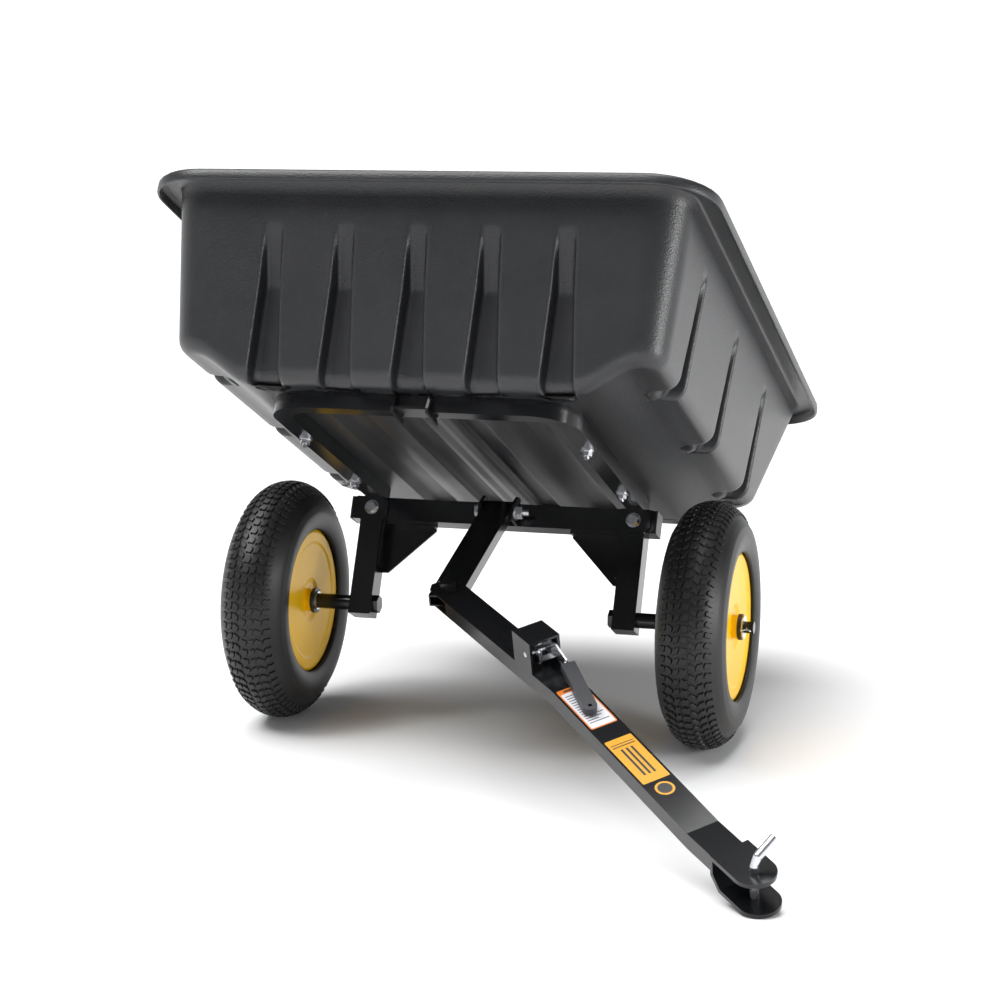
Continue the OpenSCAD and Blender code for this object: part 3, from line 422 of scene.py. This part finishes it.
class TubShape:
    """Positions on the tub's skin, by place round the ring and height."""

    def __init__(self, p):
        self.p = p
        corner = np.linspace(0, 1, 9)[1:-1] * math.pi / 2
        front = fluted_edge(FRONT_FLUTES, 6, 7)
        side = fluted_edge(SIDE_FLUTES, 14, 10)
        rear = [(0, 0, 0.5 - u / 2, 0.5 + u / 2) for u in np.linspace(1, -1, 121)]
        rows = []
        for signs, start, kind, edge in (((1, 1), 0.0, 1, rear), ((-1, 1), 0.5 * math.pi, 2,
                                          side[::-1]), ((-1, -1), math.pi, 3, front),
                                         ((1, -1), 1.5 * math.pi, 4, side)):
            rows += [(signs[0], signs[1], math.cos(start + a), math.sin(start + a), 0, 0, 0,
                      0, 0) for a in corner]
            rows += [(0, 0, 0, 0, kind, *mark) for mark in edge]
        rows = np.array(rows, float)
        self.sx, self.sy, self.ca, self.sa, self.kind = rows.T[:5]
        self.mark = rows.T[5:]
        self.count = len(rows)
        self.nx = np.where(self.kind == 0, self.ca, 0.0)
        self.ny = np.where(self.kind == 0, self.sa, 0.0)
        for k, n in ((1, (0, 1)), (2, (-1, 0)), (3, (0, -1)), (4, (1, 0))):
            self.nx = np.where(self.kind == k, n[0], self.nx)
            self.ny = np.where(self.kind == k, n[1], self.ny)

    def sizes(self, z):
        """Half width, front, rear and corner radius at height z."""
        t = (z - self.p.floor_z) / self.p.depth
        return (self.p.half + 0.029 * t, -(self.p.front + 0.046 * t), self.p.rear + 0.282 * t,
                0.044 + 0.018 * t)

    def along(self, z, low, high, off):
        """The place of each point between the two ends of its wall."""
        half = flute_half((z - self.p.floor_z) / self.p.depth) + off
        return self.mark[0] + self.mark[1] * half + self.mark[2] * low + self.mark[3] * high

    def ring(self, z, grow=0.0, off=0.0):
        """Points of the ring at heights z, moved out by grow."""
        hx, y0, y1, r = self.sizes(z)
        x = self.sx * (hx - r) + r * self.ca
        y = np.where(self.sy > 0, y1 - r, y0 + r) + r * self.sa
        x = np.where((self.kind == 1) | (self.kind == 3), self.along(z, r - hx, hx - r, off), x)
        y = np.where(self.kind == 1, y1, np.where(self.kind == 3, y0, y))
        x = np.where(self.kind == 2, -hx, np.where(self.kind == 4, hx, x))
        sides = (self.kind == 2) | (self.kind == 4)
        y = np.where(sides, self.along(z, y0 + r, y1 - r, off), y)
        return x + self.nx * grow, y + self.ny * grow

    def flute(self, x, y, z, off):
        """How far the flutes push the skin inwards."""
        t = (z - self.p.floor_z) / self.p.depth
        depth = self.p.flute * np.clip((FLUTE_TOP - t) / (FLUTE_TOP - FLUTE_KNEE), 0, 1)
        half = flute_half(t) + off
        push = np.zeros_like(x)
        sides = (self.kind == 2) | (self.kind == 4)
        for centres, value, here in ((FRONT_FLUTES, x, self.kind == 3), (SIDE_FLUTES, y, sides)):
            for c in centres:
                bump = 1 - smoothstep(-FLUTE_SOFT, FLUTE_SOFT, np.abs(value - c) - half)
                push = np.where(here, np.maximum(push, bump * depth), push)
        return push

    def skin(self, off):
        """Rings from the middle of the floor up to the rim, for the outer skin
        (off = 0) or the inner one (off = the wall)."""
        p = self.p
        foot_r = 0.022 - 0.4 * off
        x0, y0 = self.ring(np.full(self.count, p.floor_z), -(foot_r + off), off)
        base = p.floor_z + off + tub_shelf(x0)
        push0 = self.flute(x0, y0, base, off)
        xf = x0 - self.nx * push0
        base = p.floor_z + off + tub_shelf(xf)
        yc = (p.rear - p.front) / 2
        edges = [c + d for c in (0.027, 0.069, 0.123, 0.165)
                 for d in (-0.0030, -0.0015, 0.0, 0.0015, 0.0030)]
        across = sorted([0.005, 0.015, 0.045, 0.055, 0.085, 0.105, 0.140, 0.152, 0.185, 0.205,
                         0.225, 0.243, *edges, *np.linspace(0.252, 0.326, 9)])
        rings = []
        for q in [1 - v / 0.332 for v in across]:
            mix = min(1.0, q * 18)
            x = (xf * (1 - mix) + x0 * mix) * (1 - q)
            y = yc + (y0 - yc) * (1 - 0.06 * q)
            y = y + np.where(self.kind == 3, self.flute(x, y, base, off), 0.0)
            z = p.floor_z + off + tub_shelf(x) + tub_grooves(x, y, q)
            rings.append((x, y, z))
        for a in np.radians((0, 18, 36, 54, 72)):
            z = base + foot_r * (1 - math.cos(a))
            x, y = self.ring(z, -off, off)
            push = self.flute(x, y, z, off) + foot_r * (1 - math.sin(a))
            rings.append((x - self.nx * push, y - self.ny * push, z))
        low = base + foot_r
        wall_top = p.depth + p.floor_z - (0.010 if off else 0.006)
        knee = p.floor_z + 0.38 * p.depth
        levels = [low + (knee - low) * k / 6 for k in range(7)]
        levels += [np.full(self.count, p.floor_z + t * p.depth)
                   for t in (0.43, 0.465, FLUTE_KNEE, 0.495, 0.54, 0.60, 0.66, 0.72, 0.765,
                             FLUTE_TOP, 0.805, 0.85, 0.91)]
        levels.append(np.full(self.count, wall_top))
        for z in levels:
            x, y = self.ring(z, -off, off)
            push = self.flute(x, y, z, off)
            rings.append((x - self.nx * push, y - self.ny * push, z))
        return rings


def build_tub(p, material):
    """The moulded tub as one closed skin."""
    shape = TubShape(p)
    rings = shape.skin(0.0)
    top = p.floor_z + p.depth
    full = np.full(shape.count, 1.0)
    reach, lip, wall = 0.036, 0.018, p.wall

    def rim(grow, z):
        # The rim's outline, its corners opened up by the flange
        x, y = shape.ring(full * top, grow)
        return x, y, full * z

    rings.append(rim(0.0022, top - wall - 0.0005))
    rings += [rim(g, top - wall) for g in (0.005, 0.012, 0.022, reach - wall - 0.003)]
    rings += [rim(reach - wall, top - wall - 0.003), rim(reach - wall, top - lip + 0.001),
              rim(reach - wall / 2, top - lip), rim(reach - 0.0006, top - lip + 0.0008),
              rim(reach, top - lip + 0.003), rim(reach, top - 0.006)]
    for a in np.radians((30, 60, 90)):
        rings.append(rim(reach - 0.006 + 0.006 * math.cos(a), top - 0.006 + 0.006 * math.sin(a)))
    rings += [rim(g, top) for g in (0.022, 0.012, 0.004)]
    for a in np.radians((60, 30)):
        rings.append(rim(0.004 - 0.008 * math.cos(a), top - 0.008 + 0.008 * math.sin(a)))
    rings += shape.skin(wall)[::-1]
    verts = []
    for x, y, z in rings:
        verts += [BEAM @ Vector((x[i], y[i], z[i])) for i in range(shape.count)]
    n = shape.count
    faces = ring_faces(len(rings), n)
    faces.append(tuple(range(n))[::-1])
    faces.append(tuple((len(rings) - 1) * n + i for i in range(n)))
    obj = mesh_object("tub_skin", verts, faces, material)
    fix_normals(obj)
    return obj


# ---------------------------------------------------------------- tyres
def block_tree():
    """Geometry nodes: one block repeated round the Z axis."""
    tree = bpy.data.node_groups.new("Blocks round an axis", "GeometryNodeTree")
    face = tree.interface
    face.new_socket("Geometry", in_out="INPUT", socket_type="NodeSocketGeometry")
    face.new_socket("Block", in_out="INPUT", socket_type="NodeSocketObject")
    face.new_socket("Count", in_out="INPUT", socket_type="NodeSocketInt")
    face.new_socket("Phase", in_out="INPUT", socket_type="NodeSocketFloat")
    face.new_socket("Jitter", in_out="INPUT", socket_type="NodeSocketFloat")
    face.new_socket("Material", in_out="INPUT", socket_type="NodeSocketMaterial")
    face.new_socket("Geometry", in_out="OUTPUT", socket_type="NodeSocketGeometry")
    new, link = tree.nodes.new, tree.links.new
    start, end = new("NodeGroupInput"), new("NodeGroupOutput")
    points = new("GeometryNodePoints")
    link(start.outputs["Count"], points.inputs["Count"])
    index = new("GeometryNodeInputIndex")

    def calc(operation, a, b):
        node = new("ShaderNodeMath")
        node.operation = operation
        for slot, value in enumerate((a, b)):
            if isinstance(value, (int, float)):
                node.inputs[slot].default_value = value
            else:
                link(value, node.inputs[slot])
        return node.outputs[0]

    turn = calc("DIVIDE", calc("ADD", index.outputs[0], start.outputs["Phase"]),
                start.outputs["Count"])
    random = new("FunctionNodeRandomValue")
    random.data_type = "FLOAT"
    ends = [s for s in random.inputs if s.type == "VALUE"]
    ends[0].default_value, ends[1].default_value = -1.0, 1.0
    random.inputs["Seed"].default_value = 7
    value = [s for s in random.outputs if s.type == "VALUE" and s.enabled][0]
    angle = calc("ADD", calc("MULTIPLY", turn, 2 * math.pi),
                 calc("MULTIPLY", value, start.outputs["Jitter"]))
    euler = new("ShaderNodeCombineXYZ")
    link(angle, euler.inputs["Z"])
    item = new("GeometryNodeObjectInfo")
    link(start.outputs["Block"], item.inputs["Object"])
    place = new("GeometryNodeInstanceOnPoints")
    link(points.outputs[0], place.inputs["Points"])
    link(item.outputs["Geometry"], place.inputs["Instance"])
    link(euler.outputs[0], place.inputs["Rotation"])
    real = new("GeometryNodeRealizeInstances")
    link(place.outputs[0], real.inputs[0])
    paint = new("GeometryNodeSetMaterial")
    link(real.outputs[0], paint.inputs["Geometry"])
    link(start.outputs["Material"], paint.inputs["Material"])
    link(paint.outputs[0], end.inputs[0])
    return tree


def repeat_block(tree, name, block, matrix, **values):
    """Runs the block tree once and returns the result as a plain mesh object."""
    holder = mesh_object(name + "_holder", [(0, 0, 0)], [])
    mod = holder.modifiers.new("blocks", "NODES")
    mod.node_group = tree
    ids = {s.name: s.identifier for s in tree.interface.items_tree
           if s.item_type == "SOCKET" and s.in_out == "INPUT"}
    mod[ids["Block"]] = block
    for key, value in values.items():
        mod[ids[key]] = value
    graph = bpy.context.evaluated_depsgraph_get()
    mesh = bpy.data.meshes.new_from_object(holder.evaluated_get(graph))
    holder.modifiers.remove(mod)
    bpy.data.objects.remove(holder)
    mesh.transform(matrix)
    mesh.name = name
    obj = bpy.data.objects.new(name, mesh)
    bpy.context.scene.collection.objects.link(obj)
    return obj


def tread_block(t, z, long, wide, skew, material):
    """One tread block on the crown at z, following the carcass, with sloped sides."""
    verts, faces = [], []
    steps, rows = 4, 4
    r_c = t.radius - t.width / 2
    for level, inset in ((-0.0012, 0.0), (t.tread * 0.75, 0.10), (t.tread, 0.22)):
        for i in range(steps + 1):
            for j in range(rows + 1):
                u = (i / steps - 0.5) * 2
                v = (j / rows - 0.5) * 2
                u2, v2 = u * (1 - inset * 0.5), v * (1 - inset)
                # Rounded corners and a scalloped leading edge
                pull = 1 - 0.22 * u * u * v * v
                zz = z + u2 * pull * wide / 2
                phi = math.asin(max(-0.999, min(0.999, zz / (t.width / 2 - 0.0006))))
                rad = t.width / 2 - 0.0006 - t.tread + level
                arc = v2 * pull * long / 2 + skew * u2 * wide / 2 \
                    + 0.0012 * math.sin(u2 * 5.0)
                rr = r_c + rad * math.cos(phi)
                a = arc / t.radius
                verts.append((rr * math.cos(a), rr * math.sin(a), rad * math.sin(phi)))
    per = (steps + 1) * (rows + 1)

    def at(level, i, j):
        return level * per + i * (rows + 1) + j

    for i in range(steps):
        for j in range(rows):
            faces.append((at(2, i, j), at(2, i + 1, j), at(2, i + 1, j + 1), at(2, i, j + 1)))
    edge = [(i, 0) for i in range(steps)] + [(steps, j) for j in range(rows)] \
        + [(i, rows) for i in range(steps, 0, -1)] + [(0, j) for j in range(rows, 0, -1)]
    for k, here in enumerate(edge):
        there = edge[(k + 1) % len(edge)]
        for level in (0, 1):
            faces.append((at(level, *here), at(level, *there), at(level + 1, *there),
                          at(level + 1, *here)))
    used = sorted({v for f in faces for v in f})
    remap = {v: k for k, v in enumerate(used)}
    obj = mesh_object("block", [verts[v] for v in used],
                      [tuple(remap[v] for v in f) for f in faces], material)
    fix_normals(obj)
    return obj


def build_tyre(t, side, tree, material):
    """The carcass and its tread, for the wheel on the given side (-1 or 1)."""
    name = "left" if side < 0 else "right"
    matrix = Matrix.Translation((side * AXLE.x, 0, AXLE.z)) \
        @ Matrix.Rotation(side * math.pi / 2, 4, "Y")
    r = t.width / 2 - 0.0006
    centre = t.radius - t.width / 2
    bead = 0.1193
    low = -math.asin((centre - bead) / r)
    profile = []
    for k in range(57):
        a = low + (math.pi - 2 * low) * k / 56
        rad = r - t.tread * float(smoothstep(0.30, 0.62, math.sin(a)))
        # Fine rings moulded into the sidewall
        rad -= 0.0006 * (1 if k in (9, 12, 44, 47) else 0)
        profile.append((centre + rad * math.sin(a), rad * math.cos(a)))
    zb = profile[-1][1]
    profile += [(bead, zb + 0.003), (bead + 0.004, zb + 0.008), (bead + 0.004, -zb - 0.008),
                (bead, -zb - 0.003)]
    carcass = turned("tyre_%s_carcass" % name, profile, matrix, material, 128)
    rows = [(0.0, 0.0125, 0.013, 0.0), (0.0125, 0.0115, 0.011, 0.45), (-0.0125, 0.0115, 0.011, -0.45),
            (0.0245, 0.0115, 0.0115, -0.35), (-0.0245, 0.0115, 0.0115, 0.35),
            (0.0368, 0.0105, 0.0115, 0.15), (-0.0368, 0.0105, 0.0115, -0.15)]
    parts = []
    for k, (z, long, wide, skew) in enumerate(rows):
        block = tread_block(t, z, long, wide, skew, material)
        part = repeat_block(tree, "tread_%s_%d" % (name, k), block, matrix, Count=t.blocks,
                            Phase=0.5 * (k % 2), Jitter=0.002, Material=material)
        bpy.data.objects.remove(block)
        parts.append(part)
    work = bmesh.new()
    for part in parts:
        work.from_mesh(part.data)
        bpy.data.objects.remove(part)
    mesh = bpy.data.meshes.new("tread_" + name)
    work.to_mesh(mesh)
    work.free()
    mesh.materials.append(material)
    mesh.polygons.foreach_set("use_smooth", [False] * len(mesh.polygons))
    tread = bpy.data.objects.new("tyre_%s_tread" % name, mesh)
    bpy.context.scene.collection.objects.link(tread)
    return carcass, tread


# ---------------------------------------------------------------- labels
def rounded_plate(name, matrix, half, y0, y1, thick, radius, material):
    """A thin plate with rounded corners; matrix puts its underside on z = 0."""
    outline = []
    for sx, sy, start in ((1, 1, 0), (-1, 1, 90), (-1, -1, 180), (1, -1, 270)):
        for k in range(5):
            a = math.radians(start + 22.5 * k)
            cx = sx * (half - radius)
            cy = (y1 - radius) if sy > 0 else (y0 + radius)
            outline.append((cx + radius * math.cos(a), cy + radius * math.sin(a)))
    n = len(outline)
    verts = [matrix @ Vector((x, y, z)) for z in (0, thick) for x, y in outline]
    faces = [tuple(range(n))[::-1], tuple(range(n, 2 * n))]
    faces += [(i, (i + 1) % n, n + (i + 1) % n, n + i) for i in range(n)]
    return mesh_object(name, verts, faces, material, smooth=False)


def bars(name, matrix, rows, thick, material):
    """Thin printed bars, each (x0, x1, y0, y1), as one object."""
    verts, faces = [], []
    for x0, x1, y0, y1 in rows:
        k = len(verts)
        for z in (0, thick):
            verts += [matrix @ Vector(c) for c in ((x0, y0, z), (x1, y0, z), (x1, y1, z),
                                                   (x0, y1, z))]
        faces += [(k + 3, k + 2, k + 1, k), (k + 4, k + 5, k + 6, k + 7)]
        faces += [(k + i, k + (i + 1) % 4, k + 4 + (i + 1) % 4, k + 4 + i) for i in range(4)]
    return mesh_object(name, verts, faces, material, smooth=False)


# ---------------------------------------------------------------- operators
def look():
    """The scene's settings."""
    return bpy.context.scene.cart_look


class CART_OT_materials(bpy.types.Operator):
    """Builds the shared groups and every material"""
    bl_idname = "cart.materials"
    bl_label = "Materials"

    def execute(self, context):
        c = look().colours
        GROUPS.update(make_groups())
        MATS.update({
            # The tub's lighter edges are partly wear, partly a painted highlight.
            "tub_plastic": finish("tub_plastic", c.tub, 0.36, 0.07, grain=430.0, pebble=0.8,
                                  bump=0.75, depth=0.0006, mottle=0.45, wear_and_highlight=0.25,
                                  wear_and_highlight_colour=(0.07, 0.07, 0.073), dust=0.03),
            "frame_paint": finish("frame_paint", c.paint, 0.20, 0.05, coat=0.2, grain=700.0,
                                  pebble=0.3, bump=0.05, depth=0.0002, mottle=0.15,
                                  specular=0.32),
            # A lighter copy of the frame paint for the bevel faces: a painted highlight along the
            # frame's edges.
            "frame_painted_highlight": finish("frame_painted_highlight", (0.016, 0.017, 0.019), 0.26, 0.05, coat=0.3,
                                 grain=700.0, bump=0.08, depth=0.0002, mottle=0.3),
            "zinc": finish("zinc", c.zinc, 0.28, 0.12, metallic=1.0, grain=1500.0, pebble=0.2,
                           bump=0.08, depth=0.0002, mottle=0.5),
            "yellow_paint": finish("yellow_paint", c.rim, 0.32, 0.05, grain=300.0, pebble=0.1,
                                   bump=0.04, depth=0.0003, mottle=0.12, specular=0.2),
            # A lighter copy of the rim paint for the bevel faces: a painted highlight along the rims'
            # edges.
            "yellow_painted_highlight": finish("yellow_painted_highlight", (0.96, 0.55, 0.03), 0.32, 0.05, coat=0.1,
                                  grain=300.0, bump=0.04, depth=0.0003, mottle=0.2),
            "tyre_rubber": finish("tyre_rubber", c.rubber, 0.42, 0.10, grain=700.0, pebble=0.4,
                                  bump=0.35, depth=0.0003, mottle=0.6, dust=0.03,
                                  specular=0.4),
            "black_plastic": finish("black_plastic", (0.008, 0.008, 0.009), 0.38, 0.1,
                                    grain=900.0, bump=0.15, depth=0.0002, mottle=0.3),
            "grip_vinyl": finish("grip_vinyl", (0.026, 0.027, 0.031), 0.42, 0.1, grain=600.0,
                                 bump=0.2, depth=0.0002, mottle=0.3),
            "label_white": finish("label_white", (0.62, 0.62, 0.66), 0.35, 0.05, mottle=0.1,
                                  bump=0.03, depth=0.0001),
            "label_orange": finish("label_orange", (0.60, 0.16, 0.010), 0.40, 0.05, mottle=0.2,
                                   bump=0.03, depth=0.0001),
            "label_yellow": finish("label_yellow", (0.60, 0.285, 0.006), 0.40, 0.05, mottle=0.15,
                                   bump=0.03, depth=0.0001),
            "label_ink": finish("label_ink", (0.012, 0.011, 0.012), 0.4, 0.05, mottle=0.3,
                                bump=0.03, depth=0.0001),
        })
        return {"FINISHED"}


class CART_OT_metalwork(bpy.types.Operator):
    """Gives every CAD node its finish, softens its edges and paints a highlight on the bevels of the
    frame and rims
    """
    bl_idname = "cart.metalwork"
    bl_label = "Frame, hardware and rims"

    def execute(self, context):
        edge = {"frame_paint": 0.0016, "zinc": 0.0006, "black_plastic": 0.0010,
                "yellow_paint": 0.0008, "grip_vinyl": 0.0046}
        wide = {"hoop": 0.0030, "cross_beam": 0.0030, "leg_left": 0.0030, "leg_right": 0.0030,
                "link": 0.0022, "drawbar": 0.0028, "latch_box": 0.0035, "link_bush": 0.0003,
                "swivel_nut": 0.0008, "latch_spring": 0.0, "tyre_left": 0, "tyre_right": 0}
        for part in frame["record"]["subparts"]:
            obj, slot = NODES[part["node"]], part["material_slot"]
            obj.data.materials.clear()
            obj.data.materials.append(MATS[slot])
            width = wide.get(part["node"], edge.get(slot, 0.0))
            if width and part["node"] != "tub":
                bevel = obj.modifiers.new("soft edges", "BEVEL")
                bevel.width = width
                bevel.segments = 3
                bevel.limit_method = "ANGLE"
                bevel.angle_limit = math.radians(35)
                bevel.harden_normals = True
                bevel.use_clamp_overlap = True
                # The bevel's faces take a lighter copy of the finish, a painted highlight on every
                # edge.
                if slot in EDGE_HIGHLIGHTS:
                    obj.data.materials.append(MATS[EDGE_HIGHLIGHTS[slot]])
                    bevel.material = 1
        return {"FINISHED"}


class CART_OT_tub(bpy.types.Operator):
    """Builds the moulded tub"""
    bl_idname = "cart.tub"
    bl_label = "Tub"

    def execute(self, context):
        obj = build_tub(look().tub, MATS["tub_plastic"])
        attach(obj, "cart")
        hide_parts("tub")
        return {"FINISHED"}


class CART_OT_tyres(bpy.types.Operator):
    """Builds the two treaded tyres"""
    bl_idname = "cart.tyres"
    bl_label = "Tyres"

    def execute(self, context):
        tree = block_tree()
        for side, name in ((-1, "left"), (1, "right")):
            carcass, tread = build_tyre(look().tyre, side, tree, MATS["tyre_rubber"])
            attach(carcass, "wheel_" + name)
            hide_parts("tyre_" + name)
            rest_on(tread, "wheel_" + name)
        return {"FINISHED"}


class CART_OT_labels(bpy.types.Operator):
    """Lays the plain labels on the tow bar"""
    bl_idname = "cart.labels"
    bl_label = "Labels"

    def execute(self, context):
        top = BAR2 @ Matrix.Translation((0, 0, 0.0125))
        thin = 0.00015

        def lifted(steps):
            return top @ Matrix.Translation((0, 0, thin * steps))

        pieces = [
            rounded_plate("label_border", top, 0.0215, -0.103, -0.005, thin, 0.003,
                          MATS["label_orange"]),
            rounded_plate("label_face", lifted(1), 0.0195, -0.1010, -0.0150, thin, 0.002,
                          MATS["label_white"]),
            rounded_plate("label_warning", top, 0.0215, -0.238, -0.136, thin, 0.002,
                          MATS["label_yellow"]),
            bars("label_print", lifted(2), [(-0.016, 0.016 - 0.007 * (k % 3), -0.023 - 0.0056 * k,
                                             -0.0214 - 0.0056 * k) for k in range(13)],
                 thin * 0.5, MATS["label_ink"]),
            bars("label_warning_print", lifted(1),
                 [(-0.010 + 0.008 * k, -0.0065 + 0.008 * k, -0.222, -0.160) for k in range(3)]
                 + [(-0.018, 0.018, -0.1545, -0.1525), (-0.018, 0.018, -0.149, -0.1475)],
                 thin * 0.5, MATS["label_ink"]),
            bars("label_heading", lifted(1), [(-0.012, 0.012, -0.0118, -0.0082)], thin * 0.5,
                 MATS["label_ink"]),
        ]
        ring = rounded_plate("label_mark", top, 0.0140, -0.272, -0.244, thin, 0.0139,
                             MATS["label_yellow"])
        dot = rounded_plate("label_mark_core", lifted(1), 0.0105, -0.2685, -0.2475, thin, 0.0104,
                            MATS["label_ink"])
        for obj in pieces + [ring, dot]:
            rest_on(obj, "drawbar")
        return {"FINISHED"}


class CART_OT_stage(bpy.types.Operator):
    """Sets the floor, lights and camera"""
    bl_idname = "cart.stage"
    bl_label = "Stage"

    def execute(self, context):
        scene = context.scene
        h = FLOOR_HALF
        floor = mesh_object("stage_floor", [(-h, -h, 0), (h, -h, 0), (h, h, 0), (-h, h, 0)],
                            [(0, 1, 2, 3)], smooth=False)
        mat = bpy.data.materials.new("stage_floor")
        mat.use_nodes = True
        bsdf = mat.node_tree.nodes["Principled BSDF"]
        bsdf.inputs["Base Color"].default_value = (0.90, 0.90, 0.905, 1)
        bsdf.inputs["Roughness"].default_value = 0.9
        bsdf.inputs["Specular IOR Level"].default_value = 0.1
        floor.data.materials.append(mat)
        world = bpy.data.worlds.new("studio")
        world.use_nodes = True
        sky = world.node_tree
        where = sky.nodes.new("ShaderNodeTexCoord")
        split = sky.nodes.new("ShaderNodeSeparateXYZ")
        sky.links.new(where.outputs["Generated"], split.inputs[0])
        fade = sky.nodes.new("ShaderNodeMapRange")
        fade.interpolation_type = "SMOOTHSTEP"
        for key, value in (("From Min", 0.06), ("From Max", 0.36), ("To Min", 1.08),
                           ("To Max", 0.14)):
            fade.inputs[key].default_value = value
        sky.links.new(split.outputs["Z"], fade.inputs["Value"])
        back = sky.nodes["Background"]
        back.inputs["Color"].default_value = (0.98, 0.99, 1.0, 1)
        sky.links.new(fade.outputs["Result"], back.inputs["Strength"])
        scene.world = world
        for name, place, aim, size, power in LAMPS:
            data = bpy.data.lights.new(name, "AREA")
            data.shape = "SQUARE"
            data.size = size
            data.energy = power
            lamp = bpy.data.objects.new(name, data)
            lamp.location = place
            lamp.rotation_euler = (Vector(aim) - Vector(place)).to_track_quat(
                "-Z", "Y").to_euler()
            scene.collection.objects.link(lamp)
        data = bpy.data.lights.new("sun", "SUN")
        data.energy = 4.0
        data.angle = math.radians(60)
        lamp = bpy.data.objects.new("sun", data)
        lamp.rotation_euler = Vector(SUN_AIM).to_track_quat("-Z", "Y").to_euler()
        scene.collection.objects.link(lamp)
        data = bpy.data.lights.new("front", "SPOT")
        data.energy = 300.0
        data.spot_size = math.radians(86)
        data.spot_blend = 1.0
        data.shadow_soft_size = 0.3
        lamp = bpy.data.objects.new("front", data)
        lamp.location = SPOT_AT
        scene.collection.objects.link(lamp)
        data = bpy.data.cameras.new("camera")
        data.lens = CAMERA_LENS
        data.sensor_width = 36.0
        data.clip_end = 100.0
        camera = bpy.data.objects.new("camera", data)
        camera.location = CAMERA_AT
        camera.rotation_euler = Vector(CAMERA_AIM).to_track_quat(
            "-Z", "Y").to_euler()
        scene.collection.objects.link(camera)
        scene.camera = camera
        scene.view_settings.view_transform = "Standard"
        return {"FINISHED"}


class CART_PT_panel(bpy.types.Panel):
    """The cart's steps, in order"""
    bl_idname = "CART_PT_panel"
    bl_label = "Garden cart"
    bl_space_type = "VIEW_3D"
    bl_region_type = "UI"
    bl_category = "Cart"

    def draw(self, context):
        for step in STEPS:
            self.layout.operator(step.bl_idname)
        for group in (look().colours, look().tub, look().tyre):
            box = self.layout.box()
            for key in group.__annotations__:
                box.prop(group, key)


# Lighter copies of the frame and rim paint, laid on bevel faces as painted highlights.
EDGE_HIGHLIGHTS = {"frame_paint": "frame_painted_highlight", "yellow_paint": "yellow_painted_highlight"}
GROUPS = {}
MATS = {}
STEPS = (CART_OT_materials, CART_OT_metalwork, CART_OT_tub, CART_OT_tyres, CART_OT_labels,
         CART_OT_stage)
CLASSES = (CartColours, CartTub, CartTyre, CartLook, *STEPS, CART_PT_panel)


def register():
    """Registers the classes and the scene's settings."""
    for cls in CLASSES:
        bpy.utils.register_class(cls)
    bpy.types.Scene.cart_look = bpy.props.PointerProperty(type=CartLook)


def unregister():
    """Takes them away again."""
    del bpy.types.Scene.cart_look
    for cls in reversed(CLASSES):
        bpy.utils.unregister_class(cls)


def main():
    """Builds everything."""
    register()
    for step in STEPS:
        area, name = step.bl_idname.split(".")
        getattr(getattr(bpy.ops, area), name)()


if __name__ == "__main__":
    main()
